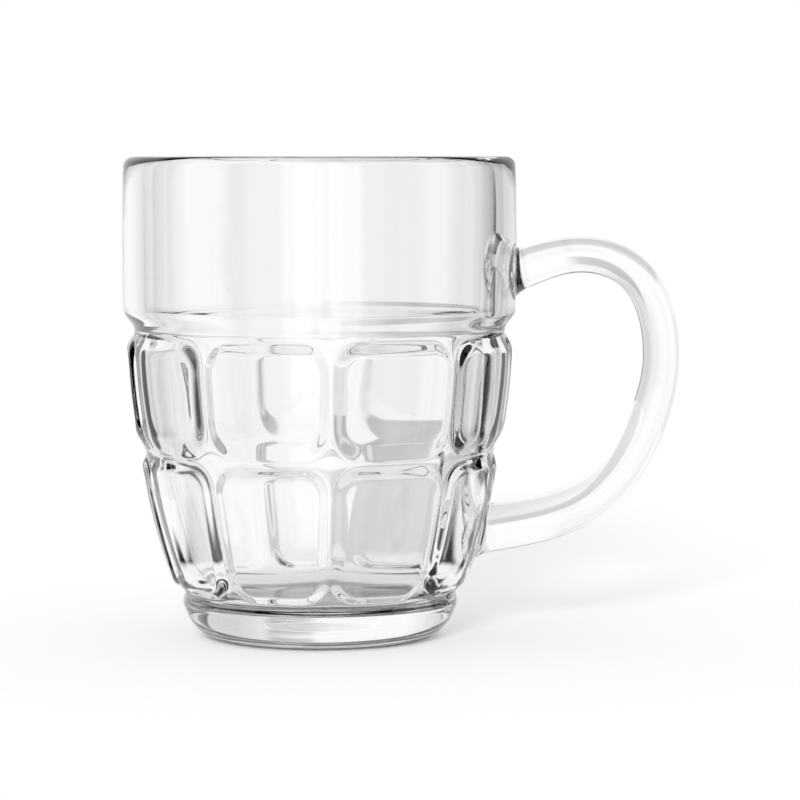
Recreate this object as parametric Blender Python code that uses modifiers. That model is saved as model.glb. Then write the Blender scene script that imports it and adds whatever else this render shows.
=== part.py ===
"""A juice mug of clear pressed glass: a vessel with two rows of raised panels, and a C handle.

Metres, +Z up. The axis of the vessel is Z, its underside lies at z = 0 and the handle points to +X.
"""

import math

import bmesh
import bpy
from mathutils import Matrix, Vector

# Vessel, outside
HEIGHT = 0.100
BAND_RADIUS = 0.0408  # smooth band under the rim
BAND_HEIGHT = 0.0356  # from the rim down to the first seam
BAND_BULGE = 0.0002  # the band is this much fuller halfway down
BARREL_RADIUS = 0.192  # the side below the band draws in along one arc of this radius
BARREL_LEAD = 0.0073  # that arc starts this far above the first seam
HEEL_RADIUS = 0.0065  # round corner between the side and the flat underside

# Vessel, inside
RIM_WALL = 0.0042
FOOT_WALL = 0.0054  # wall at the level of the underside
BASE_THICKNESS = 0.0076
FLOOR_FILLET = 0.008

# Moulded panels: seams are the level grooves, flutes the upright ones
PANEL_COUNT = 9  # panels in each of the two rows
FRONT_FLUTE_TURN = -90.0  # degrees from the handle to the flute that the others are counted from
PANEL_SINK = 0.0004  # the panels lie this much inside the band
PANEL_CROWN = 0.0005  # and swell by this much halfway up
UPPER_ROW_HEIGHT = 0.0257  # from the first seam to the second
FOOT_SINK = 0.0004  # the plain foot lies this much inside the skin
SEAM_DEPTH = 0.0011
SEAM_HALF_WIDTH = 0.0036
FOOT_SEAM_DEPTH = 0.0009
FOOT_SEAM_HALF_WIDTH = 0.0026
FLUTE_DEPTH = 0.0009
FLUTE_HALF_WIDTH = 0.0040

# Handle
HANDLE_THICKNESS = 0.0075  # across the grip, seen from the side
HANDLE_WIDTH = 0.0105  # along Y
FINGER_ROOM = 0.0274  # from the band to the inside of the grip
UPPER_ROOT_RISE = 0.0105  # upper root above the first seam
CREST_RISE = 0.0045  # crest above the upper root
CREST_OUT = 0.0140  # crest beyond the band
GRIP_DROP = 0.0170  # outermost point below the upper root
ELBOW_IN = 0.0130  # elbow inside the outermost point
ELBOW_RISE = 0.0080  # elbow above the lower root
LOWER_ROOT_Z = 0.0215
UPPER_ROOT_GIRTH = 1.15  # thickness at the roots and elbow, in grip thicknesses
ELBOW_GIRTH = 1.22
LOWER_ROOT_GIRTH = 1.35
UPPER_ROOT_HEADING = 25.0  # degrees above +X in which the handle leaves the band
ELBOW_HEADING = -140.0
LOWER_ROOT_HEADING = -172.0
SHOULDER_FULLNESS = 0.64  # 0.55 would make the outer shoulder a quarter ellipse
WELD_GAP = 0.0003  # between the handle's ends and the vessel

# Fineness of the mesh
STEPS_PER_PANEL = 8
WALL_SPANS = 4
ARC_SPANS = 6
HANDLE_SPANS = 8
HANDLE_ROUNDNESS = 6
MERGE_DISTANCE = 0.00001
SHARP_ANGLE = math.radians(40.0)

# Heights and radii that follow from the sizes above
FIRST_SEAM_Z = HEIGHT - BAND_HEIGHT
SECOND_SEAM_Z = FIRST_SEAM_Z - UPPER_ROW_HEIGHT
FOOT_SEAM_Z = HEEL_RADIUS + FOOT_SEAM_HALF_WIDTH
SEAMS = (
    (FIRST_SEAM_Z, SEAM_HALF_WIDTH, SEAM_DEPTH),
    (SECOND_SEAM_Z, SEAM_HALF_WIDTH, SEAM_DEPTH),
    (FOOT_SEAM_Z, FOOT_SEAM_HALF_WIDTH, FOOT_SEAM_DEPTH),
)
BARREL_TOP_Z = FIRST_SEAM_Z + BARREL_LEAD
LIP_RADIUS = 0.5 * RIM_WALL
LIP_Z = HEIGHT - LIP_RADIUS
TURN_STEPS = PANEL_COUNT * STEPS_PER_PANEL

GLASS_COLOUR = (0.94, 0.97, 0.97, 1.0)
GLASS_ROUGHNESS = 0.03
GLASS_IOR = 1.5


def spaced(first, last, spans):
    """Values from first to last in equal spans, both ends included."""
    return [first + (last - first) * i / spans for i in range(spans + 1)]


def arc(centre_r, centre_z, radius, first_degrees, last_degrees):
    """Profile points (r, z) along an arc, both ends included."""
    turns = [math.radians(a) for a in spaced(first_degrees, last_degrees, ARC_SPANS)]
    return [(centre_r + radius * math.cos(a), centre_z + radius * math.sin(a)) for a in turns]


def swell(z, low, high):
    """1 halfway between two heights and 0 at both, along a parabola."""
    share = (2.0 * z - low - high) / (high - low)
    return max(1.0 - share**2, 0.0)


def groove(distance, half_width):
    """Share of a round-bottomed groove's depth at a distance from its middle line."""
    if abs(distance) >= half_width:
        return 0.0
    return math.cos(0.5 * math.pi * distance / half_width) ** 2


def skin_radius(z):
    """Side of the vessel before anything is pressed into it: a straight band, then one arc."""
    fall = max(BARREL_TOP_Z - z, 0.0)
    return BAND_RADIUS - BARREL_RADIUS + math.sqrt(BARREL_RADIUS**2 - fall**2)


def seam_depth(z):
    """Depth of the level grooves."""
    return max(depth * groove(z - seam_z, half_width) for seam_z, half_width, depth in SEAMS)


def outer_radius(z):
    """Side of the vessel with its bulging band, its crowned panel rows and its seams."""
    if z >= FIRST_SEAM_Z:
        relief = BAND_BULGE * swell(z, FIRST_SEAM_Z, LIP_Z)
    elif z >= SECOND_SEAM_Z:
        relief = PANEL_CROWN * swell(z, SECOND_SEAM_Z, FIRST_SEAM_Z) - PANEL_SINK
    elif z >= FOOT_SEAM_Z:
        relief = PANEL_CROWN * swell(z, FOOT_SEAM_Z, SECOND_SEAM_Z) - PANEL_SINK
    else:
        relief = -FOOT_SINK
    return skin_radius(z) + relief - seam_depth(z)


def inner_radius(z):
    """Inside of the vessel: the skin less a wall that thickens steadily towards the foot."""
    return skin_radius(z) - (FOOT_WALL + (RIM_WALL - FOOT_WALL) * z / LIP_Z)


def outer_profile():
    """Points (r, z) down the outside, from below the lip to the edge of the flat underside."""
    levels = []
    top = LIP_Z
    for seam_z, half_width, _ in SEAMS:
        levels += spaced(top, seam_z + half_width, WALL_SPANS)
        levels += spaced(seam_z + 0.5 * half_width, seam_z - 0.5 * half_width, 2)
        top = seam_z - half_width
    side = [(outer_radius(z), z) for z in levels]
    heel_centre = outer_radius(HEEL_RADIUS) - HEEL_RADIUS
    return side + arc(heel_centre, HEEL_RADIUS, HEEL_RADIUS, 0.0, -90.0)


def vessel_profile():
    """The vessel's half section: from the floor's centre up the inside, over the lip and down."""
    fillet_z = BASE_THICKNESS + FLOOR_FILLET
    fillet = arc(inner_radius(fillet_z) - FLOOR_FILLET, fillet_z, FLOOR_FILLET, -90.0, 0.0)
    inside = [(inner_radius(z), z) for z in spaced(fillet_z, LIP_Z, 2 * WALL_SPANS)]
    lip = arc(BAND_RADIUS - LIP_RADIUS, LIP_Z, LIP_RADIUS, 180.0, 0.0)
    outside = outer_profile()
    return [(0.0, BASE_THICKNESS)] + fillet + inside[1:] + lip[1:] + outside[1:] + [(0.0, 0.0)]


def trim_profile():
    """A plug that is larger than the outside of the vessel by the weld gap."""
    outside = [(r + WELD_GAP, z) for r, z in outer_profile()]
    return [(0.0, HEIGHT), (BAND_RADIUS, HEIGHT)] + outside + [(0.0, -WELD_GAP)]


def glass_material(name):
    """Clear, colourless, polished glass."""
    material = bpy.data.materials.new(name)
    material.use_nodes = True
    shader = material.node_tree.nodes["Principled BSDF"]
    shader.inputs["Base Color"].default_value = GLASS_COLOUR
    shader.inputs["Roughness"].default_value = GLASS_ROUGHNESS
    shader.inputs["Metallic"].default_value = 0.0
    shader.inputs["IOR"].default_value = GLASS_IOR
    shader.inputs["Transmission Weight"].default_value = 1.0
    return material


def new_object(name, data, collection):
    """An object in a collection."""
    thing = bpy.data.objects.new(name, data)
    collection.objects.link(thing)
    return thing


def made_solid(source, name):
    """A mesh object like the evaluated source, its doubles merged. The source is removed."""
    collection = source.users_collection[0]
    evaluated = source.evaluated_get(bpy.context.evaluated_depsgraph_get())
    mesh = bpy.data.meshes.new_from_object(evaluated)
    mesh.name = name
    work = bmesh.new()
    work.from_mesh(mesh)
    bmesh.ops.remove_doubles(work, verts=work.verts, dist=MERGE_DISTANCE)
    work.to_mesh(mesh)
    work.free()
    placed = source.matrix_world.copy()
    bpy.data.objects.remove(source)
    solid = new_object(name, mesh, collection)
    solid.matrix_world = placed
    return solid


def turned(name, profile, collection):
    """A solid turned about Z from a half section."""
    mesh = bpy.data.meshes.new(name + "_section")
    points = [(r, 0.0, z) for r, z in profile]
    edges = [(i, i + 1) for i in range(len(points) - 1)]
    mesh.from_pydata(points, edges, [])
    section = new_object(name + "_section", mesh, collection)
    screw = section.modifiers.new("Turn", "SCREW")
    screw.axis = "Z"
    screw.steps = TURN_STEPS
    screw.render_steps = TURN_STEPS
    screw.use_merge_vertices = True
    screw.merge_threshold = MERGE_DISTANCE
    return made_solid(section, name)


def under_lower_root(angle, z):
    """Whether the handle's lower root, with a flute's half width round it, covers a place on the side."""
    half_width = 0.5 * LOWER_ROOT_GIRTH * HANDLE_WIDTH + FLUTE_HALF_WIDTH
    half_height = 0.5 * LOWER_ROOT_GIRTH * HANDLE_THICKNESS + FLUTE_HALF_WIDTH
    return abs(skin_radius(z) * angle) < half_width and abs(z - LOWER_ROOT_Z) < half_height


def flute_depth(angle, z):
    """Depth of the upright grooves between the panels, which stop at the handle's lower root."""
    if not FOOT_SEAM_Z <= z <= FIRST_SEAM_Z or under_lower_root(angle, z):
        return 0.0
    pitch = 2.0 * math.pi / PANEL_COUNT
    turn = (angle - math.radians(FRONT_FLUTE_TURN)) / pitch
    distance = skin_radius(z) * pitch * (turn - round(turn))
    return FLUTE_DEPTH * groove(distance, FLUTE_HALF_WIDTH)


def press_flutes(vessel):
    """Moves the outer wall in along the flutes, where the seams aren't deeper already."""
    for vertex in vessel.data.vertices:
        x, y, z = vertex.co
        radius = math.hypot(x, y)
        if radius < skin_radius(z) - 0.5 * RIM_WALL:
            continue
        depth = max(flute_depth(math.atan2(y, x), z) - seam_depth(z), 0.0)
        share = (radius - depth) / radius
        vertex.co = (x * share, y * share, z)


def make_vessel(collection):
    """The moulded vessel, pressed with its panels."""
    vessel = turned("mug_body", vessel_profile(), collection)
    press_flutes(vessel)
    vessel.data.shade_smooth()
    vessel.data.set_sharp_from_angle(angle=SHARP_ANGLE)
    vessel.data.materials.append(glass_material("vessel_glass"))
    return vessel


def handle_knots():
    """Knots of the handle's middle line: x, z, heading in degrees, reach back, reach on, girth."""
    upper_z = FIRST_SEAM_Z + UPPER_ROOT_RISE
    upper_x = skin_radius(upper_z) - 0.5 * RIM_WALL
    lower_x = skin_radius(LOWER_ROOT_Z) - 0.5 * FOOT_WALL
    crest_x, crest_z = BAND_RADIUS + CREST_OUT, upper_z + CREST_RISE
    grip_x, grip_z = BAND_RADIUS + FINGER_ROOM + 0.5 * HANDLE_THICKNESS, upper_z - GRIP_DROP
    elbow_x, elbow_z = grip_x - ELBOW_IN, LOWER_ROOT_Z + ELBOW_RISE
    third = 1.0 / 3.0  # of the way to the next knot, the usual reach of a Bezier control
    rise = crest_x - upper_x
    drop = grip_z - elbow_z
    run = elbow_x - lower_x
    return [
        (upper_x, upper_z, UPPER_ROOT_HEADING, third * rise, third * rise, UPPER_ROOT_GIRTH),
        (crest_x, crest_z, 0.0, third * rise, SHOULDER_FULLNESS * (grip_x - crest_x), 1.0),
        (grip_x, grip_z, -90.0, SHOULDER_FULLNESS * (crest_z - grip_z), third * drop, 1.0),
        (elbow_x, elbow_z, ELBOW_HEADING, third * drop, third * run, ELBOW_GIRTH),
        (lower_x, LOWER_ROOT_Z, LOWER_ROOT_HEADING, third * run, third * run, LOWER_ROOT_GIRTH),
    ]


def make_handle(collection, cutters):
    """The handle: a round bar along its middle line, widened along Y and trimmed to the vessel."""
    curve = bpy.data.curves.new("handle_line", "CURVE")
    curve.dimensions = "3D"
    curve.resolution_u = HANDLE_SPANS
    curve.bevel_depth = 0.5 * HANDLE_THICKNESS
    curve.bevel_resolution = HANDLE_ROUNDNESS
    curve.use_fill_caps = True
    knots = handle_knots()
    spline = curve.splines.new("BEZIER")
    spline.bezier_points.add(len(knots) - 1)
    for point, (x, z, heading, reach_back, reach_on, girth) in zip(spline.bezier_points, knots):
        way = Vector((math.cos(math.radians(heading)), 0.0, math.sin(math.radians(heading))))
        point.co = (x, 0.0, z)
        point.handle_left = point.co - reach_back * way
        point.handle_right = point.co + reach_on * way
        point.radius = girth
    handle = made_solid(new_object("handle_line", curve, collection), "handle")
    handle.data.transform(Matrix.Diagonal((1.0, HANDLE_WIDTH / HANDLE_THICKNESS, 1.0, 1.0)))
    handle.data.shade_smooth()
    handle.data.set_sharp_from_angle(angle=SHARP_ANGLE)
    handle.data.materials.append(glass_material("handle_glass"))

    plug = turned("handle_trim", trim_profile(), cutters)
    plug.hide_render = True
    plug.display_type = "WIRE"
    trim = handle.modifiers.new("Trim to vessel", "BOOLEAN")
    trim.operation = "DIFFERENCE"
    trim.solver = "EXACT"
    trim.object = plug
    return handle


def main():
    for thing in list(bpy.data.objects):
        bpy.data.objects.remove(thing)
    mug = bpy.data.collections.new("juice_mug")
    cutters = bpy.data.collections.new("cutters")
    for collection in (mug, cutters):
        bpy.context.scene.collection.children.link(collection)
    make_vessel(mug)
    make_handle(mug, cutters)


main()
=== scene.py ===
# %% [markdown]
# # A juice mug of clear pressed glass
#
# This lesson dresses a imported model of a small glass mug. The real object is two pieces of glass: a
# vessel that was pressed in a mould, with two rows of raised panels on its outside, and a handle that
# was welded on while hot. Clear glass has no colour of its own. What we see is its shape bending the
# light of the studio around it, so three things decide the picture: smooth surfaces, a true wall
# thickness, and what stands around the mug.

import bpy
import numpy as np
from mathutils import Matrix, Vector


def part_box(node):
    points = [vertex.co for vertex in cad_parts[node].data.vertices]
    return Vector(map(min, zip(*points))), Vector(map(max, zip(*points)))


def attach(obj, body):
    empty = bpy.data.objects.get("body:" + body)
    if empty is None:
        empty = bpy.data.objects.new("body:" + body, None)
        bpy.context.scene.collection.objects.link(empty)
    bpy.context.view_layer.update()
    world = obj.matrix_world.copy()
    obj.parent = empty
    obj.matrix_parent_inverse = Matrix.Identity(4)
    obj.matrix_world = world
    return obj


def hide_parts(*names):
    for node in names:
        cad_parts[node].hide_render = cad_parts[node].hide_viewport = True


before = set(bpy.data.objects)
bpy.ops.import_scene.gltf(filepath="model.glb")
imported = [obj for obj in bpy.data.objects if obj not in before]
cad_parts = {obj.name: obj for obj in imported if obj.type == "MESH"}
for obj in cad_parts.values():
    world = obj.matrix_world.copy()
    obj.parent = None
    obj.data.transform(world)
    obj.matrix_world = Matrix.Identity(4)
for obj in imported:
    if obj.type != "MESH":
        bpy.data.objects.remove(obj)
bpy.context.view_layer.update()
_, vessel_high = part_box("mug_body")

# %% [markdown]
# ## The side of the vessel
#
# From the rim down, the vessel is first a straight band and then draws in along one large arc, like a
# barrel. We call that plain outline the skin. Everything that the mould adds, panels and grooves, is a
# small height above or below it. The height and the width come from the frame; the other values are the
# mug's own sizes.

# %% Sizes of the vessel
MM = 0.001
TINY = 1e-12  # keeps a division from meeting zero
HEIGHT = vessel_high.z
BAND_BULGE = 0.2 * MM
BAND_RADIUS = vessel_high.y - BAND_BULGE
BARREL_RADIUS = 192.0 * MM
BARREL_TOP_Z = 71.7 * MM
LIP_RADIUS = 2.1 * MM
LIP_Z = HEIGHT - LIP_RADIUS
RIM_WALL = 4.2 * MM
FOOT_WALL = 5.4 * MM
BASE_THICKNESS = 7.5 * MM


def skin_radius(z):
    """Band radius, less the sagitta of the barrel's arc at the depth below the arc's top."""
    fall = np.maximum(BARREL_TOP_Z - z, 0.0)
    return BAND_RADIUS - BARREL_RADIUS + np.sqrt(BARREL_RADIUS**2 - fall**2)


def inner_radius(z):
    """The skin less a wall that thickens in a straight line from the rim to the foot."""
    return skin_radius(z) - (FOOT_WALL + (RIM_WALL - FOOT_WALL) * z / LIP_Z)


print(f"height {HEIGHT / MM:.1f} mm, band radius {BAND_RADIUS / MM:.1f} mm")

# %% [markdown]
# ## The pressed panels
#
# Each row holds nine cushions with rounded corners, parted by gentle upright flutes; one flute lies a
# quarter turn from the handle. A cushion could be modelled once and copied round, but then it would
# have to be joined to its neighbours. A height field is simpler: for every point of the side we work
# out how far it lies outside the nearest cushion's rounded rectangle, and that distance says how deep
# the groove is there. Corners, crossings and edges then come out smooth by themselves. Depths matter
# here: a flute a few tenths of a millimetre deeper already bends the light much further and draws broad
# black bars instead of thin lines.

# %% Relief of the side
PANEL_COUNT = 9
PITCH = 2.0 * np.pi / PANEL_COUNT
FRONT_FLUTE = np.radians(-90.0)
PANEL_SINK = 0.4 * MM
PANEL_CROWN = 0.5 * MM
CORNER_RADIUS = 3.0 * MM
FLUTE_HALF_WIDTH = 3.0 * MM
FLUTE_DEPTH = 0.9 * MM
FOOT_SINK = 0.8 * MM

# each seam: height of its bottom line, reach of its upper and its lower flank, depth
SEAM_1 = (64.0 * MM, 4.25 * MM, 4.2 * MM, 1.65 * MM)
SEAM_2 = (38.7 * MM, 5.0 * MM, 3.3 * MM, 1.3 * MM)
FOOT_SEAM = (9.4 * MM, 2.2 * MM, 2.6 * MM, 1.6 * MM)


def eased(share):
    """Half a cosine wave: 0 up to share 0, 1 from share 1, and level at both ends."""
    return 0.5 - 0.5 * np.cos(np.pi * np.clip(share, 0.0, 1.0))


def row_relief(angle, z, seam_above, seam_below):
    """Height of one row of panels over the skin.

    Outside a rounded rectangle the distance to it, over the groove's reach, is eased from 0 to 1 and
    multiplied by the depth. Inside, the face is sunk a little and swells by a product of two parabolas.
    """
    above_z, _, reach_above, depth_above = seam_above
    below_z, reach_below, _, depth_below = seam_below
    high, low = above_z - reach_above, below_z + reach_below
    middle, half_height = 0.5 * (high + low), 0.5 * (high - low)
    turn = (angle - FRONT_FLUTE) / PITCH
    along = skin_radius(z) * PITCH * (turn - np.floor(turn) - 0.5)
    half_width = 0.5 * skin_radius(z) * PITCH - FLUTE_HALF_WIDTH

    past_side = np.maximum(np.abs(along) - half_width + CORNER_RADIUS, 0.0)
    past_end = np.maximum(np.abs(z - middle) - half_height + CORNER_RADIUS, 0.0)
    outside = np.maximum(np.hypot(past_side, past_end) - CORNER_RADIUS, 0.0)
    upright = past_end**2 / np.maximum(past_side**2 + past_end**2, TINY)
    reach_end = np.where(z > middle, reach_above, reach_below)
    reach = FLUTE_HALF_WIDTH + (reach_end - FLUTE_HALF_WIDTH) * upright

    depth_end = np.where(z > middle, depth_above, depth_below)
    nearness = 1.0 - (half_height + reach_end - np.abs(z - middle)) / (reach_end + CORNER_RADIUS)
    depth = FLUTE_DEPTH + (depth_end - FLUTE_DEPTH) * eased(nearness)

    swell_across = np.maximum(1.0 - (along / (half_width + FLUTE_HALF_WIDTH)) ** 2, 0.0)
    swell_up = np.maximum(1.0 - ((z - middle) / (half_height + reach_end)) ** 2, 0.0)
    return PANEL_CROWN * swell_across * swell_up - PANEL_SINK - depth * eased(outside / reach)


def outer_radius(angle, z):
    """Skin plus relief: the bulging band, the two rows and the plain foot, parted at the seams' bottoms."""
    seam_1, seam_2, foot = SEAM_1[0], SEAM_2[0], FOOT_SEAM[0]
    band_share = (2.0 * z - seam_1 - LIP_Z) / (LIP_Z - seam_1)
    band_fall = eased((seam_1 + SEAM_1[1] - z) / SEAM_1[1])
    band = BAND_BULGE * (1.0 - band_share**2) - (SEAM_1[3] + PANEL_SINK) * band_fall
    foot_fall = eased((z - foot + FOOT_SEAM[2]) / FOOT_SEAM[2])
    plain_foot = -FOOT_SINK + (FOOT_SINK - PANEL_SINK - FOOT_SEAM[3]) * foot_fall
    relief = np.where(z >= seam_1, band, row_relief(angle, z, SEAM_1, SEAM_2))
    relief = np.where(z >= seam_2, relief, row_relief(angle, z, SEAM_2, FOOT_SEAM))
    relief = np.where(z >= foot, relief, plain_foot)
    return skin_radius(z) + relief


print("panel rows from", SEAM_1[0] / MM, "to", SEAM_2[0] / MM, "and on to", FOOT_SEAM[0] / MM, "mm")

# %% [markdown]
# ## The line of the handle
#
# The handle is a bar of hot glass, set on the band, drawn out in a C and pressed on again low on the
# side. Its middle line is a chain of Bezier curves through five knots in the plane of the handle. It
# comes before the vessel, because the two welds shape the vessel's own grid.

# %% Middle line of the handle
HANDLE_THICKNESS = 7.5 * MM
HANDLE_WIDTH = 10.5 * MM
FINGER_ROOM = 27.4 * MM
UPPER_ROOT_Z = 74.9 * MM
LOWER_ROOT_Z = 21.5 * MM
CREST_RISE = 4.5 * MM
CREST_OUT = 14.0 * MM
GRIP_DROP = 17.0 * MM
ELBOW_IN = 13.0 * MM
ELBOW_RISE = 8.0 * MM
SHOULDER_FULLNESS = 0.64
LINE_SPANS = 60

# degrees above +X in which the line runs at the upper root, the elbow and the lower root
UPPER_ROOT_HEADING, ELBOW_HEADING, LOWER_ROOT_HEADING = 25.0, -140.0, -172.0
# thickness there, in thicknesses of the grip
UPPER_ROOT_GIRTH, ELBOW_GIRTH, LOWER_ROOT_GIRTH = 1.15, 1.22, 1.35


def handle_knots():
    """Knots of the middle line: x, z, heading in degrees, reach back, reach on, girth."""
    upper_x = skin_radius(UPPER_ROOT_Z) - 0.5 * RIM_WALL
    lower_x = skin_radius(LOWER_ROOT_Z) - 0.5 * FOOT_WALL
    crest_x, crest_z = BAND_RADIUS + CREST_OUT, UPPER_ROOT_Z + CREST_RISE
    grip_x, grip_z = BAND_RADIUS + FINGER_ROOM + 0.5 * HANDLE_THICKNESS, UPPER_ROOT_Z - GRIP_DROP
    elbow_x, elbow_z = grip_x - ELBOW_IN, LOWER_ROOT_Z + ELBOW_RISE
    rise, drop, run = (crest_x - upper_x) / 3.0, (grip_z - elbow_z) / 3.0, (elbow_x - lower_x) / 3.0
    return [
        (upper_x, UPPER_ROOT_Z, UPPER_ROOT_HEADING, rise, rise, UPPER_ROOT_GIRTH),
        (crest_x, crest_z, 0.0, rise, SHOULDER_FULLNESS * (grip_x - crest_x), 1.0),
        (grip_x, grip_z, -90.0, SHOULDER_FULLNESS * (crest_z - grip_z), drop, 1.0),
        (elbow_x, elbow_z, ELBOW_HEADING, drop, run, ELBOW_GIRTH),
        (lower_x, LOWER_ROOT_Z, LOWER_ROOT_HEADING, run, run, LOWER_ROOT_GIRTH),
    ]


def handle_line():
    """Points (x, z), girth and length along the chain.

    A Bezier curve weighs its four controls by (1-t)^3, 3t(1-t)^2, 3t^2(1-t) and t^3.
    """
    t = np.linspace(0.0, 1.0, LINE_SPANS + 1)[:, None]
    points, girths = [], []
    knots = handle_knots()
    for (x0, z0, heading0, _, on, girth0), (x1, z1, heading1, back, _, girth1) in zip(knots, knots[1:]):
        way0, way1 = np.radians(heading0), np.radians(heading1)
        start, end = np.array([x0, z0]), np.array([x1, z1])
        leave = start + on * np.array([np.cos(way0), np.sin(way0)])
        arrive = end - back * np.array([np.cos(way1), np.sin(way1)])
        ends = (1 - t) ** 3 * start + t**3 * end
        curve = ends + 3 * t * (1 - t) ** 2 * leave + 3 * t**2 * (1 - t) * arrive
        girth = girth0 + (girth1 - girth0) * eased(t[:, 0])
        first = 1 if points else 0
        points.append(curve[first:])
        girths.append(girth[first:])
    line, girth = np.concatenate(points), np.concatenate(girths)
    step = np.hypot(*np.diff(line, axis=0).T)
    return line, girth, np.concatenate([[0.0], np.cumsum(step)])


LINE, GIRTH, LENGTH = handle_line()
HEADING = np.gradient(LINE, LENGTH, axis=0)
HEADING /= np.hypot(*HEADING.T)[:, None]
print(f"handle line {LENGTH[-1] / MM:.1f} mm long")


# %% Section of the bar
def bar_section(length, turn):
    """Ring of the bar: centre + Y * half width * cos(turn) + normal * half thickness * sin(turn)."""
    length = np.asarray(length)[:, None]
    x, z, girth = (np.interp(length, LENGTH, values) for values in (LINE[:, 0], LINE[:, 1], GIRTH))
    way_x, way_z = (np.interp(length, LENGTH, HEADING[:, i]) for i in (0, 1))
    across = 0.5 * HANDLE_WIDTH * girth * np.cos(turn)
    up = 0.5 * HANDLE_THICKNESS * girth * np.sin(turn)
    return np.stack([x - way_z * up, across, z + way_x * up], axis=-1)


print(f"bar {HANDLE_WIDTH / MM:.1f} mm wide and {HANDLE_THICKNESS / MM:.1f} mm thick at the grip")

# %% [markdown]
# ## Where the handle meets the wall
#
# A weld has no surface inside it: the glass of the bar runs on into the wall. If two closed glass
# meshes merely touched, the renderer would draw a skin between them. So both pieces share the very same
# patch of wall, point for point, and that patch gets a material that light passes undisturbed. To make
# a patch with a round outline in a square grid, a block of cells is bent until its rim lies on the
# outline, and the cells around it follow along.

# %% Outline of a weld
WELD_COLUMNS, WELD_ROWS = 13, 10  # steps from the middle of a weld's block to its rim
WELD_FILLET = 1.6 * MM
WELD_STANDOFF = 3.0 * MM
SLIDES = 12


def disc_turn(p, q):
    """Turn of a square's point after the map to a disc: x = p sqrt(1 - q^2/2), y = q sqrt(1 - p^2/2)."""
    return np.arctan2(q * np.sqrt(1.0 - 0.5 * p**2), p * np.sqrt(1.0 - 0.5 * q**2))


def block_rim():
    """Whole steps (p, q) round the rim of the block, from the lower right corner on, and their turns."""
    n, m = WELD_COLUMNS, WELD_ROWS
    p = np.concatenate([np.full(2 * m, n), np.arange(n, -n, -1), np.full(2 * m, -n), np.arange(-n, n)])
    q = np.concatenate([np.arange(-m, m), np.full(2 * n, m), np.arange(m, -m, -1), np.full(2 * n, -m)])
    return p, q, disc_turn(p / n, q / m)


RIM_P, RIM_Q, RIM_TURN = block_rim()


def weld_outline(length, towards_wall):
    """Angles, heights and middle height of a weld's outline, the bar's ring, and where it meets the wall.

    Each point of the bar's ring is slid along the line until its distance from the axis is the wall's
    radius; the outline lies one fillet further out from the middle of the weld.
    """
    ring = bar_section([length], RIM_TURN)[0]
    way = towards_wall * np.array([np.interp(length, LENGTH, HEADING[:, 0]), 0.0,
                                   np.interp(length, LENGTH, HEADING[:, 1])])
    meet = ring.copy()
    for _ in range(SLIDES):
        angle = np.arctan2(meet[:, 1], meet[:, 0])
        excess = np.hypot(meet[:, 0], meet[:, 1]) - outer_radius(angle, meet[:, 2])
        meet = meet + np.outer(excess / abs(way[0]), way)
    angle, z = np.arctan2(meet[:, 1], meet[:, 0]), meet[:, 2]
    middle = 0.5 * (z.min() + z.max())
    along, rise = outer_radius(angle, z) * angle, z - middle
    grow = 1.0 + WELD_FILLET / np.hypot(along, rise)
    return angle * grow, middle + rise * grow, middle, ring, meet


def line_length_outside(radius_margin):
    """First and last length at which the middle line is clear of the wall by a margin."""
    clear = LINE[:, 0] > outer_radius(np.zeros(len(LINE)), LINE[:, 1]) + radius_margin
    return LENGTH[clear][0], LENGTH[clear][-1]


FIRST_LENGTH, LAST_LENGTH = line_length_outside(WELD_STANDOFF)
UPPER_WELD = weld_outline(FIRST_LENGTH, -1.0)
LOWER_WELD = weld_outline(LAST_LENGTH, 1.0)
for name, weld in (("upper", UPPER_WELD), ("lower", LOWER_WELD)):
    lowest, highest = np.round([weld[1].min() / MM, weld[1].max() / MM], 1)
    print(name, "weld from", lowest, "to", highest, "mm up")

# %% [markdown]
# ## The vessel as one closed grid
#
# The whole surface of the vessel is one sheet: it starts in the middle of the floor, climbs the inside,
# turns over the lip, comes down the outside and closes under the base. Columns run round the axis,
# closer together in the flutes; rows run along the half section, closer together in the seams.

# %% Columns and rows of the vessel
COLUMNS_PER_PANEL = 46
COLUMN_CROWDING = 0.5
OUTSIDE_ROWS = 150
ROW_CROWDING = 1.5
CROWDING_REACH = 4.0 * MM
FINE_STEPS = 4000


def column_angles():
    """Angles once round, from a flute behind the mug, crowded at every flute.

    Across a panel the share u becomes u - k sin(2 pi u) / (2 pi).
    """
    u = np.arange(COLUMNS_PER_PANEL) / COLUMNS_PER_PANEL
    share = u - COLUMN_CROWDING * np.sin(2.0 * np.pi * u) / (2.0 * np.pi)
    number = np.arange(PANEL_COUNT) + np.ceil((-np.pi - FRONT_FLUTE) / PITCH)
    return FRONT_FLUTE + (number[:, None] + share[None, :]).ravel() * PITCH


def crowded(low, high, count, places):
    """Values from low to high whose density is 1 plus a bell curve at each place."""
    fine = np.linspace(low, high, FINE_STEPS)
    bells = sum(np.exp(-(((fine - place) / CROWDING_REACH) ** 2)) for place in places)
    density = 1.0 + ROW_CROWDING * bells
    total = np.concatenate([[0.0], np.cumsum(0.5 * (density[1:] + density[:-1]))])
    return np.interp(np.linspace(0.0, total[-1], count), total, fine)


ANGLES = column_angles()
print(len(ANGLES), "columns")

# %% Half section of the vessel
FLOOR_RINGS, FILLET_RINGS, WALL_RINGS, LIP_RINGS, HEEL_RINGS, DISC_RINGS = 4, 11, 17, 13, 12, 3
SMALLEST_RING = 0.2  # of the floor's or the underside's disc
LARGEST_INNER_RING = 0.75
HEEL_Z = 5.6 * MM
FOOT_DISC_RADIUS = 21.3 * MM
FLOOR_DISC_RADIUS = 18.6 * MM
FILLET_Z = 18.7 * MM


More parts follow.
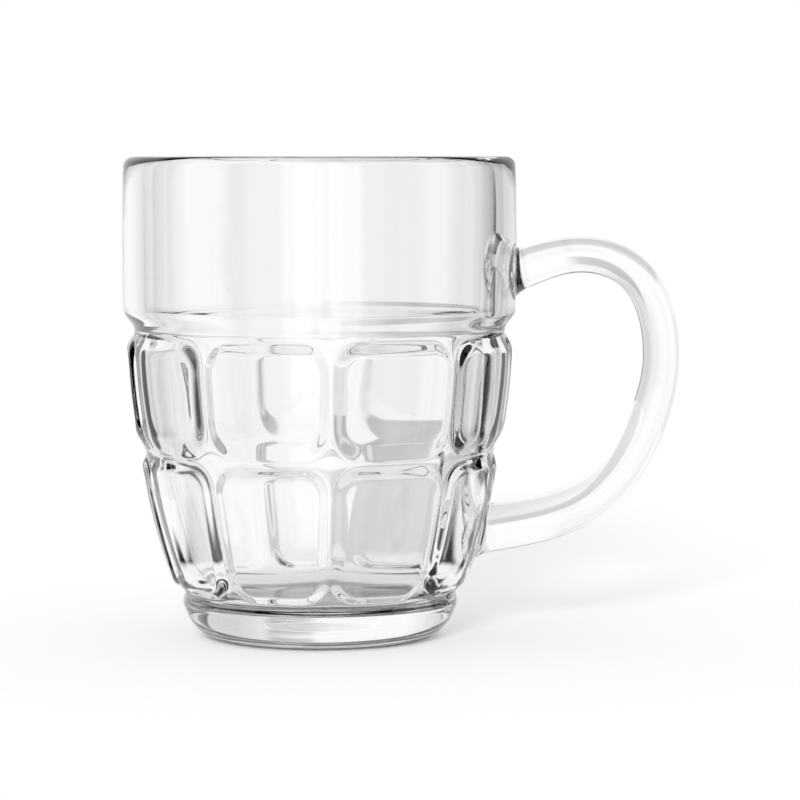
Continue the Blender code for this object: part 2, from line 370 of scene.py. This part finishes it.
def corner_curve(start, corner, end, count):
    """Points of a quadratic Bezier, weighed (1-t)^2, 2t(1-t), t^2: a round corner tangent to both sides."""
    t = np.linspace(0.0, 1.0, count)[:, None]
    points = [np.asarray(point) for point in (start, corner, end)]
    return (1 - t) ** 2 * points[0] + 2 * t * (1 - t) * points[1] + t**2 * points[2]


def tangent_foot(radius_at, z, level):
    """Radius at which the tangent of a side, taken at height z, meets a level."""
    step = 0.1 * MM
    slope = (radius_at(z + step) - radius_at(z - step)) / (2.0 * step)
    return radius_at(z) - slope * (z - level)


def plain_outside(z):
    """Outside of the foot, which is the same all round."""
    return float(outer_radius(np.array(0.0), np.array(z)))


def inside_rows():
    """Half section (r, z) from near the floor's middle up to the lip's inner edge."""
    floor_r = np.linspace(SMALLEST_RING, 1.0, FLOOR_RINGS) * FLOOR_DISC_RADIUS
    floor = np.stack([floor_r, np.full(FLOOR_RINGS, BASE_THICKNESS)], axis=1)
    knee = (tangent_foot(inner_radius, FILLET_Z, BASE_THICKNESS), BASE_THICKNESS)
    fillet = corner_curve(floor[-1], knee, (inner_radius(FILLET_Z), FILLET_Z), FILLET_RINGS)
    wall_z = np.linspace(FILLET_Z, LIP_Z, WALL_RINGS)
    wall = np.stack([inner_radius(wall_z), wall_z], axis=1)
    return np.concatenate([floor, fillet[1:], wall[1:]])


def lip_rows():
    """Half a circle from the inside over the top, both ends left out."""
    turn = np.radians(np.linspace(180.0, 0.0, LIP_RINGS)[1:-1])
    radius = BAND_RADIUS - LIP_RADIUS + LIP_RADIUS * np.cos(turn)
    return np.stack([radius, LIP_Z + LIP_RADIUS * np.sin(turn)], axis=1)


def under_rows():
    """Heel and underside, from just under the side to near the middle."""
    corner = (tangent_foot(plain_outside, HEEL_Z, 0.0), 0.0)
    heel = corner_curve((plain_outside(HEEL_Z), HEEL_Z), corner, (FOOT_DISC_RADIUS, 0.0), HEEL_RINGS)
    disc_r = np.linspace(LARGEST_INNER_RING, SMALLEST_RING, DISC_RINGS) * FOOT_DISC_RADIUS
    disc = np.stack([disc_r, np.zeros(DISC_RINGS)], axis=1)
    return np.concatenate([heel[1:], disc])


SIDE_Z = crowded(LIP_Z, HEEL_Z, OUTSIDE_ROWS, [SEAM_1[0], SEAM_2[0], FOOT_SEAM[0]])
INSIDE, LIP, UNDER = inside_rows(), lip_rows(), under_rows()
print(len(INSIDE) + len(LIP) + len(SIDE_Z) + len(UNDER), "rows")

# %% Bend the side's grid to the welds
WELD_INFLUENCE = 3.0


def bend_to_weld(angle, z, weld):
    """Moves grid points so that a block's rim lies on a weld's outline.

    A point's share m is the larger of its two step counts over the block's. Up to 1 it goes to m times the
    outline's point at the same turn; from there on that place is eased back into the point's own.
    """
    outline_angle, outline_z, middle = weld[:3]
    middle_column = int(np.argmin(np.abs(ANGLES)))
    middle_row = int(np.argmin(np.abs(SIDE_Z - middle)))
    p = (np.arange(len(ANGLES)) - middle_column)[None, :] / WELD_COLUMNS
    q = (middle_row - np.arange(len(SIDE_Z)))[:, None] / WELD_ROWS
    share = np.maximum(np.abs(p), np.abs(q))
    turn = disc_turn(p / np.maximum(share, TINY), q / np.maximum(share, TINY))
    order = np.argsort(RIM_TURN)
    at_angle = np.interp(turn, RIM_TURN[order], outline_angle[order], period=2.0 * np.pi)
    at_z = np.interp(turn, RIM_TURN[order], outline_z[order], period=2.0 * np.pi)
    own = eased((share - 1.0) / (WELD_INFLUENCE - 1.0))
    within_columns = np.abs(p[:, :-1] + 0.5 / WELD_COLUMNS) < 1.0
    within_rows = np.abs(q[:-1] - 0.5 / WELD_ROWS) < 1.0
    bent_angle = own * angle + (1.0 - own) * share * at_angle
    bent_z = own * z + (1.0 - own) * (middle + share * (at_z - middle))
    return bent_angle, bent_z, within_columns & within_rows, (middle_column, middle_row)


side_angle, side_z = np.meshgrid(ANGLES, SIDE_Z)
side_angle, side_z, upper_cells, upper_middle = bend_to_weld(side_angle, side_z, UPPER_WELD)
side_angle, side_z, lower_cells, lower_middle = bend_to_weld(side_angle, side_z, LOWER_WELD)
side_radius = outer_radius(side_angle, side_z)
SIDE = np.stack([side_radius * np.cos(side_angle), side_radius * np.sin(side_angle), side_z], axis=-1)
print("weld cells:", int(upper_cells.sum()), "and", int(lower_cells.sum()))


# %% Mesh helpers
def grid_faces(rows, columns, first=0):
    """Quads of a grid that is closed round its columns, as four whole arrays side by side."""
    row, column = np.meshgrid(np.arange(rows - 1), np.arange(columns), indexing="ij")
    here, beside = first + row * columns + column, first + row * columns + (column + 1) % columns
    return np.stack([here, beside, beside + columns, here + columns], axis=-1).reshape(-1, 4)


def mesh_piece(name, points, faces, materials, slots):
    """A smooth mesh object from points, a list of faces and each face's material slot."""
    mesh = bpy.data.meshes.new(name)
    mesh.from_pydata(np.asarray(points).tolist(), [], faces)
    for material in materials:
        mesh.materials.append(material)
    mesh.polygons.foreach_set("material_index", np.asarray(slots, dtype=np.int32))
    mesh.polygons.foreach_set("use_smooth", np.asarray(slots) == 0)
    mesh.validate()
    mesh.update()
    piece = bpy.data.objects.new(name, mesh)
    bpy.context.scene.collection.objects.link(piece)
    print(name, len(mesh.vertices), "points,", sum(len(f) - 2 for f in faces), "triangles")
    return piece


# %% [markdown]
# ## Glass
#
# Fire-polished glass is as smooth as a liquid, but a pressed piece is never perfect: the surface waves
# a little where it chilled against the mould. A faint bump and a trace of roughness, both from noise on
# the object's own coordinates, keep the reflections from looking computed.

# %% Glass materials
GLASS_IOR = 1.5
GLASS_COLOUR = (0.985, 0.99, 0.99, 1.0)
WAVE_HEIGHT = 0.02 * MM
PRESSED_WAVES, DRAWN_WAVES = 90.0, 120.0  # waves per metre
WAVE_LOW, WAVE_HIGH = 0.3, 0.7  # where the noise is smoothest and roughest
ROUGHEST = 0.012


def clear_glass(name, waves_per_metre):
    """Clear glass: full transmission, with a trace of uneven roughness and a slow wave in the surface."""
    material = bpy.data.materials.new(name)
    material.use_nodes = True
    nodes, links = material.node_tree.nodes, material.node_tree.links
    shader = nodes["Principled BSDF"]
    shader.inputs["Base Color"].default_value = GLASS_COLOUR
    shader.inputs["IOR"].default_value = GLASS_IOR
    shader.inputs["Transmission Weight"].default_value = 1.0
    place = nodes.new("ShaderNodeTexCoord")
    waves = nodes.new("ShaderNodeTexNoise")
    waves.inputs["Scale"].default_value = waves_per_metre
    waves.inputs["Detail"].default_value = 1.0
    links.new(place.outputs["Object"], waves.inputs["Vector"])
    polish = nodes.new("ShaderNodeMapRange")
    polish.inputs["From Min"].default_value = WAVE_LOW
    polish.inputs["From Max"].default_value = WAVE_HIGH
    polish.inputs["To Min"].default_value = 0.0
    polish.inputs["To Max"].default_value = ROUGHEST
    links.new(waves.outputs["Fac"], polish.inputs["Value"])
    links.new(polish.outputs["Result"], shader.inputs["Roughness"])
    bump = nodes.new("ShaderNodeBump")
    bump.inputs["Strength"].default_value = 1.0
    bump.inputs["Distance"].default_value = WAVE_HEIGHT
    links.new(waves.outputs["Fac"], bump.inputs["Height"])
    links.new(bump.outputs["Normal"], shader.inputs["Normal"])
    return material


def weld_glass(name):
    """The inside of the weld, which light passes as if nothing were there."""
    material = bpy.data.materials.new(name)
    material.use_nodes = True
    nodes, links = material.node_tree.nodes, material.node_tree.links
    nodes.remove(nodes["Principled BSDF"])
    clear = nodes.new("ShaderNodeBsdfTransparent")
    links.new(clear.outputs["BSDF"], nodes["Material Output"].inputs["Surface"])
    return material


VESSEL_GLASS = clear_glass("pressed_glass", PRESSED_WAVES)
HANDLE_GLASS = clear_glass("drawn_glass", DRAWN_WAVES)
WELD = weld_glass("weld")
print("materials:", VESSEL_GLASS.name, HANDLE_GLASS.name, WELD.name)


# %% Build the vessel
def turned_rows(section):
    """Rings of points (r cos a, r sin a, z) for each point of a half section."""
    radius, z = section[:, :1], section[:, 1:]
    rings = np.broadcast_arrays(radius * np.cos(ANGLES), radius * np.sin(ANGLES), z)
    return np.stack(rings, axis=-1)


def build_vessel():
    """Rings of the whole half section, closed by a fan at the floor's and the underside's middle."""
    rings = np.concatenate([turned_rows(INSIDE), turned_rows(LIP), SIDE, turned_rows(UNDER)])
    rows, columns = rings.shape[:2]
    floor_pole, under_pole = rows * columns, rows * columns + 1
    points = np.concatenate([rings.reshape(-1, 3), [[0.0, 0.0, BASE_THICKNESS], [0.0, 0.0, 0.0]]])
    quads = grid_faces(rows, columns)[:, ::-1]
    ring = np.arange(columns)
    last = (rows - 1) * columns
    floor_fan = np.stack([ring, np.roll(ring, -1), np.full(columns, floor_pole)], axis=1)
    under_fan = np.stack([last + np.roll(ring, -1), last + ring, np.full(columns, under_pole)], axis=1)
    welded = np.zeros((rows - 1, columns), dtype=bool)
    first_side = len(INSIDE) + len(LIP)
    welded[first_side:first_side + len(SIDE) - 1, :-1] = upper_cells | lower_cells
    slots = np.concatenate([welded.ravel().astype(int), np.zeros(2 * columns, dtype=int)])
    faces = quads.tolist() + floor_fan.tolist() + under_fan.tolist()
    return mesh_piece("pressed_vessel", points, faces, [VESSEL_GLASS, WELD], slots)


vessel = build_vessel()
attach(vessel, "root")
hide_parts("mug_body")

# %% [markdown]
# ## The handle
#
# The bar is an oval ring carried along the middle line. At both ends it flares: the last rings follow a
# Bezier curve from the bar down onto the wall, tangent to both, as hot glass does when it is pressed
# on. The ends are closed with the vessel's own patches, turned round.

# %% Build the handle
BAR_RINGS = 120
FLARE_RINGS = 9


def flare(weld):
    """Rings from the outline on the wall to the bar's ring, bent round the line where the two would meet.

    They are quadratic Bezier curves, weighed (1-t)^2, 2t(1-t), t^2.
    """
    outline_angle, outline_z, _, ring, meet = weld
    radius = outer_radius(outline_angle, outline_z)
    outline = np.stack([radius * np.cos(outline_angle), radius * np.sin(outline_angle), outline_z], axis=1)
    t = np.linspace(0.0, 1.0, FLARE_RINGS)[:, None, None]
    return (1 - t) ** 2 * outline + 2 * t * (1 - t) * meet + t**2 * ring


def weld_patch(middle):
    """The vessel's grid points over a weld, as rows of q from low to high and columns of p."""
    column, row = middle
    rows = row - np.arange(-WELD_ROWS, WELD_ROWS + 1)
    return SIDE[rows, column - WELD_COLUMNS:column + WELD_COLUMNS + 1]


def cap(middle, first_point, ring_start, flip):
    """Inner points of a weld patch and its quads, which share the rim with a ring of the bar."""
    patch = weld_patch(middle)
    high, wide = patch.shape[:2]
    numbers = np.zeros((high, wide), dtype=int)
    numbers[1:-1, 1:-1] = first_point + np.arange((high - 2) * (wide - 2)).reshape(high - 2, wide - 2)
    rim_rows = (-RIM_Q if flip else RIM_Q) + WELD_ROWS
    numbers[rim_rows, RIM_P + WELD_COLUMNS] = ring_start + np.arange(len(RIM_P))
    quads = np.stack([numbers[:-1, :-1], numbers[1:, :-1], numbers[1:, 1:], numbers[:-1, 1:]], axis=-1)
    return patch[1:-1, 1:-1].reshape(-1, 3), quads.reshape(-1, 4)


def build_handle():
    """Upper flare, bar, lower flare turned round, and the two caps."""
    bar = bar_section(np.linspace(FIRST_LENGTH, LAST_LENGTH, BAR_RINGS), RIM_TURN)
    rings = np.concatenate([flare(UPPER_WELD)[:-1], bar, flare(LOWER_WELD)[-2::-1]])
    rows, columns = rings.shape[:2]
    tube = rings.reshape(-1, 3)
    upper_points, upper_quads = cap(upper_middle, len(tube), 0, False)
    lower_points, lower_quads = cap(lower_middle, len(tube) + len(upper_points), (rows - 1) * columns, True)
    points = np.concatenate([tube, upper_points, lower_points])
    quads = np.concatenate([grid_faces(rows, columns), upper_quads, lower_quads])
    bar_slots = np.zeros((rows - 1) * columns, dtype=int)
    weld_slots = np.ones(len(upper_quads) + len(lower_quads), dtype=int)
    slots = np.concatenate([bar_slots, weld_slots])
    return mesh_piece("welded_handle", points, quads.tolist(), [HANDLE_GLASS, WELD], slots)


handle = build_handle()
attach(handle, "root")
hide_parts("handle")

# %% [markdown]
# ## The table
#
# Glass is photographed against light: a bright field stands behind it, and black boards stand left and
# right, just out of the picture. Where the glass sends the view straight on it looks white, and where
# it bends the view to the side it meets a board and turns black. The table is a plain white sheet that
# shines a little, so that it stays white in the picture and keeps the mug's soft shadow; under the foot
# its glow is left off, a painted shade. Modelled boards would cast shadows of their own, so they are
# only painted, where the glass alone sees them. A light shade on the table behind the mug, painted in
# the same way, greys the panels on the right.

# %% Node helpers
def number_node(tree, operation, *values):
    """A Math node; each value is a socket or a number."""
    node = tree.nodes.new("ShaderNodeMath")
    node.operation = operation
    for socket, value in zip(node.inputs, values):
        if isinstance(value, (int, float)):
            socket.default_value = value
        else:
            tree.links.new(value, socket)
    return node.outputs[0]


def soft_step(tree, value, start, end):
    """0 before start and 1 after end, smooth between; start may be the larger."""
    node = tree.nodes.new("ShaderNodeMapRange")
    node.interpolation_type = "SMOOTHSTEP"
    low, high = min(start, end), max(start, end)
    node.inputs["From Min"].default_value = low
    node.inputs["From Max"].default_value = high
    node.inputs["To Min"].default_value = 0.0 if start < end else 1.0
    node.inputs["To Max"].default_value = 1.0 if start < end else 0.0
    tree.links.new(value, node.inputs["Value"])
    return node.outputs["Result"]


def product(tree, *values):
    """A chain of Math nodes that multiplies all the values."""
    result = values[0]
    for value in values[1:]:
        result = number_node(tree, "MULTIPLY", result, value)
    return result


def mixed_shaders(tree, share, first, second):
    """A Mix Shader node between two shaders."""
    mix = tree.nodes.new("ShaderNodeMixShader")
    for value, socket in zip((share, first, second), mix.inputs):
        tree.links.new(value, socket)
    return mix.outputs["Shader"]


# %% What the glass sees on the table
DARK = 0.005  # strength of the boards and of the unlit sky

# soft edges on the table: where each starts and where it is complete
BOARD_FROM = (54.0 * MM, 62.0 * MM)
BOARD_UP_TO = (28.0 * MM, 16.0 * MM)
SHADE_RIGHT = (2.0 * MM, 16.0 * MM)
SHADE_BEHIND = (90.0 * MM, 120.0 * MM)
SHADE_UP_TO = (270.0 * MM, 220.0 * MM)
SHADE_SHARE = 0.24


def darkness_in_glass(tree, place, path):
    """How dark the glass sees a place of the table: 1 on the boards, a share in the shade, else 0."""
    spot = tree.nodes.new("ShaderNodeSeparateXYZ")
    tree.links.new(place, spot.inputs["Vector"])
    x, y = spot.outputs["X"], spot.outputs["Y"]
    boards = product(tree, soft_step(tree, number_node(tree, "ABSOLUTE", x), *BOARD_FROM),
                     soft_step(tree, number_node(tree, "ABSOLUTE", y), *BOARD_UP_TO))
    shade = product(tree, soft_step(tree, x, *SHADE_RIGHT), soft_step(tree, y, *SHADE_BEHIND),
                    soft_step(tree, y, *SHADE_UP_TO), SHADE_SHARE)
    through, mirrored = path.outputs["Is Transmission Ray"], path.outputs["Is Glossy Ray"]
    return product(tree, number_node(tree, "MAXIMUM", boards, shade),
                   number_node(tree, "MAXIMUM", through, mirrored))


# %% White of the table
TABLE_COLOUR = (0.95, 0.95, 0.95, 1.0)
TABLE_GLOW = 0.50
# where the glow fades in: nearer the axis, under the foot, the table is darker, a painted shade
PAINTED_FOOT_SHADE_EDGE = (21.0 * MM, 27.0 * MM)


def table_finish():
    """Matt white with a glow, off for matt light, off under the foot as a painted shade, and painted dark on
    the boards.
    """
    material = bpy.data.materials.new("white_table")
    material.use_nodes = True
    tree = material.node_tree
    tree.nodes.remove(tree.nodes["Principled BSDF"])
    matt, glow, board = (tree.nodes.new(kind) for kind in
                         ("ShaderNodeBsdfDiffuse", "ShaderNodeEmission", "ShaderNodeEmission"))
    matt.inputs["Color"].default_value = TABLE_COLOUR
    board.inputs["Strength"].default_value = DARK
    place = tree.nodes.new("ShaderNodeTexCoord").outputs["Object"]
    from_axis = tree.nodes.new("ShaderNodeVectorMath")
    from_axis.operation = "LENGTH"
    tree.links.new(place, from_axis.inputs[0])
    path = tree.nodes.new("ShaderNodeLightPath")
    shining = number_node(tree, "MULTIPLY_ADD", path.outputs["Is Diffuse Ray"], -TABLE_GLOW, TABLE_GLOW)
    # no glow under the foot: painted shade where the mug stands
    shining = product(tree, shining, soft_step(tree, from_axis.outputs["Value"], *PAINTED_FOOT_SHADE_EDGE))
    lit = mixed_shaders(tree, shining, matt.outputs["BSDF"], glow.outputs["Emission"])
    shown = mixed_shaders(tree, darkness_in_glass(tree, place, path), lit, board.outputs["Emission"])
    tree.links.new(shown, tree.nodes["Material Output"].inputs["Surface"])
    return material


# %% Table
TABLE_MIDDLE = (0.03, 0.08)
TABLE_REACH = (0.15, 0.30)
TABLE_POINTS = 96
TABLE_Z = -0.3 * MM


def lay_table():
    """An oval sheet a hair below the foot: points (middle + reach cos a, middle + reach sin a), one face."""
    turn = np.linspace(0.0, 2.0 * np.pi, TABLE_POINTS, endpoint=False)
    across = TABLE_MIDDLE[0] + TABLE_REACH[0] * np.cos(turn)
    along = TABLE_MIDDLE[1] + TABLE_REACH[1] * np.sin(turn)
    points = np.stack([across, along, np.full(TABLE_POINTS, TABLE_Z)], axis=1)
    mesh = bpy.data.meshes.new("table_top")
    mesh.from_pydata(points.tolist(), [], [list(range(TABLE_POINTS))])
    mesh.materials.append(table_finish())
    table = bpy.data.objects.new("table_top", mesh)
    bpy.context.scene.collection.objects.link(table)
    low, high = (np.round(corner / MM, 1) for corner in (points.min(axis=0), points.max(axis=0)))
    print("table from", low, "to", high, "mm")


lay_table()

# %% [markdown]
# ## The studio
#
# The rest of the studio is painted on the sky as soft windows in bearing and elevation. Real lamps
# would do the same, but each would have to be placed and shaped. The wide bright field is at the back;
# two tall windows behind the camera leave the upright white bars on the front of the mug; windows at
# the sides keep the glass clear when it is seen from there; one window overhead stands to the right. A
# small grey card before the bright field takes some of it away and leaves the grey streaks on the
# grooves. Between the windows it is dark. For the camera itself the sky is plain white.

# %% Studio
AMBIENT = 0.80  # strength of the sky for matt surfaces
LEFT_BAR, RIGHT_BAR = 180.0 + 10.3, 180.0 - 12.5  # the two tall windows behind the camera

# each panel: bearing from +Y towards +X, half width, softness, lowest and highest elevation, softness,
# brightness; all angles in degrees
PANELS = [
    (-9.0, 27.0, 16.0, -90.0, 36.0, 4.0, 0.33),  # the bright field's middle
    (-2.5, 51.0, 1.5, -90.0, 36.0, 4.0, 0.66),  # the whole bright field
    (RIGHT_BAR, 9.5, 2.0, -20.0, 34.0, 4.0, 1.1),
    (LEFT_BAR, 7.3, 2.0, -20.0, 34.0, 4.0, 1.1),
    (180.0, 125.0, 3.0, -90.0, -32.0, 4.0, 0.9),  # the white ground in front and at the sides
    (180.0, 48.0, 4.0, -32.0, 34.0, 4.0, 0.45),  # a dim fill round the camera
    (96.0, 22.0, 3.0, -32.0, 34.0, 4.0, 0.85),  # the windows at the sides
    (-96.0, 22.0, 3.0, -32.0, 34.0, 4.0, 0.85),
    (112.0, 44.0, 8.0, 34.0, 80.0, 6.0, 0.85),  # the window overhead
    (12.0, 6.5, 2.5, 2.0, 15.0, 1.5, -0.37),  # the grey card, which takes light away
]


def studio_panel(tree, flat_way, elevation, panel):
    """Brightness of one panel: a soft window in bearing times a soft window in elevation."""
    bearing, half, soft, low, high, soft_up, brightness = panel
    dot = tree.nodes.new("ShaderNodeVectorMath")
    dot.operation = "DOT_PRODUCT"
    dot.inputs[1].default_value = (np.sin(np.radians(bearing)), np.cos(np.radians(bearing)), 0.0)
    tree.links.new(flat_way, dot.inputs[0])
    off = number_node(tree, "ARCCOSINE", dot.outputs["Value"])
    across = soft_step(tree, off, np.radians(half + soft), np.radians(half - soft))
    above = soft_step(tree, elevation, np.radians(low - soft_up), np.radians(low + soft_up))
    below = soft_step(tree, elevation, np.radians(high + soft_up), np.radians(high - soft_up))
    return product(tree, across, brightness, above, below)


def paint_studio():
    """The sky: white for the camera, an even glow for matt surfaces, and the panels for everything else."""
    world = bpy.data.worlds.new("studio")
    world.use_nodes = True
    tree = world.node_tree
    way = tree.nodes.new("ShaderNodeTexCoord").outputs["Generated"]
    parts = tree.nodes.new("ShaderNodeSeparateXYZ")
    tree.links.new(way, parts.inputs["Vector"])
    elevation = number_node(tree, "ARCSINE", parts.outputs["Z"])
    level = tree.nodes.new("ShaderNodeVectorMath")
    level.operation = "MULTIPLY"
    level.inputs[1].default_value = (1.0, 1.0, 0.0)
    tree.links.new(way, level.inputs[0])
    flat = tree.nodes.new("ShaderNodeVectorMath")
    flat.operation = "NORMALIZE"
    tree.links.new(level.outputs["Vector"], flat.inputs[0])
    glow = DARK
    for panel in PANELS:
        glow = number_node(tree, "ADD", glow, studio_panel(tree, flat.outputs["Vector"], elevation, panel))
    path = tree.nodes.new("ShaderNodeLightPath")
    mixed = number_node(tree, "MULTIPLY_ADD", number_node(tree, "SUBTRACT", AMBIENT, glow),
                        path.outputs["Is Diffuse Ray"], glow)
    seen = number_node(tree, "MAXIMUM", mixed, path.outputs["Is Camera Ray"])
    background = tree.nodes["Background"]
    background.inputs["Color"].default_value = (1.0, 1.0, 1.0, 1.0)
    tree.links.new(seen, background.inputs["Strength"])
    bpy.context.scene.world = world
    print("studio of", len(PANELS), "panels")


paint_studio()

# %% [markdown]
# ## Key light and camera
#
# One soft far light from the front lays the shadow to the back right. Only the table should show it, so
# the glass neither mirrors nor bends it. The camera has a long lens at the height of the rim, as in the
# photograph. Light may pass glass many times, but it is mirrored only a few times, so that edges in
# which the view bounces on and on stay dark.

# %% Key light
KEY_BEARING = np.radians(14.0)
KEY_ELEVATION = np.radians(24.0)
KEY_SPREAD = np.radians(16.0)
KEY_STRENGTH = 2.2


def key_light():
    """A soft far light from the front, a little left, which lays the shadow to the back right."""
    data = bpy.data.lights.new("key_light", "SUN")
    data.angle = KEY_SPREAD
    data.energy = KEY_STRENGTH
    lamp = bpy.data.objects.new("key_light", data)
    bpy.context.scene.collection.objects.link(lamp)
    flat = np.cos(KEY_ELEVATION)
    way = (flat * np.sin(KEY_BEARING), flat * np.cos(KEY_BEARING), -np.sin(KEY_ELEVATION))
    lamp.rotation_mode = "QUATERNION"
    lamp.rotation_quaternion = Vector(way).to_track_quat("-Z", "Y")
    lamp.visible_glossy = False
    lamp.visible_transmission = False
    print("key light towards", np.round(way, 2))


key_light()

# %% Camera
PIXEL = 0.2092 * MM  # of the picture, measured at the mug
IMAGE_SIDE = 800  # pixels
CAMERA_DISTANCE = 0.70
CAMERA_HEIGHT = 0.100
CAMERA_AZIMUTH = np.radians(-3.5)
AXIS_PIXEL_X = 320.0  # about where the mug's axis falls in the picture
BASE_PIXEL_Y = 635.0  # about where the middle of its base falls
SENSOR = 36.0  # mm
CLIP_START = 10.0 * MM


def photo_camera():
    """A long lens at the height of the rim, aimed so that the mug falls where the picture has it."""
    right = Vector((np.cos(CAMERA_AZIMUTH), np.sin(CAMERA_AZIMUTH), 0.0))
    ahead = Vector((-np.sin(CAMERA_AZIMUTH), np.cos(CAMERA_AZIMUTH), 0.0))
    half = 0.5 * IMAGE_SIDE
    aim = right * (half - AXIS_PIXEL_X) * PIXEL + Vector((0.0, 0.0, (BASE_PIXEL_Y - half) * PIXEL))
    data = bpy.data.cameras.new("camera")
    camera = bpy.data.objects.new("camera", data)
    bpy.context.scene.collection.objects.link(camera)
    camera.location = -ahead * CAMERA_DISTANCE + Vector((0.0, 0.0, CAMERA_HEIGHT))
    sight = aim - camera.location
    camera.rotation_mode = "QUATERNION"
    camera.rotation_quaternion = sight.to_track_quat("-Z", "Y")
    data.sensor_width = SENSOR
    data.lens = SENSOR * sight.length / (IMAGE_SIDE * PIXEL)
    data.clip_start = CLIP_START
    bpy.context.scene.camera = camera
    print(f"lens {data.lens:.1f} mm at {sight.length:.3f} m")


photo_camera()

# %% View and bounces
GLASS_BOUNCES = 24
MIRROR_BOUNCES = 6

bpy.context.scene.view_settings.view_transform = "Standard"
bpy.context.scene.cycles.max_bounces = GLASS_BOUNCES
bpy.context.scene.cycles.glossy_bounces = MIRROR_BOUNCES
bpy.context.scene.cycles.transmission_bounces = GLASS_BOUNCES
print("bounces:", GLASS_BOUNCES, "through glass,", MIRROR_BOUNCES, "mirrored")
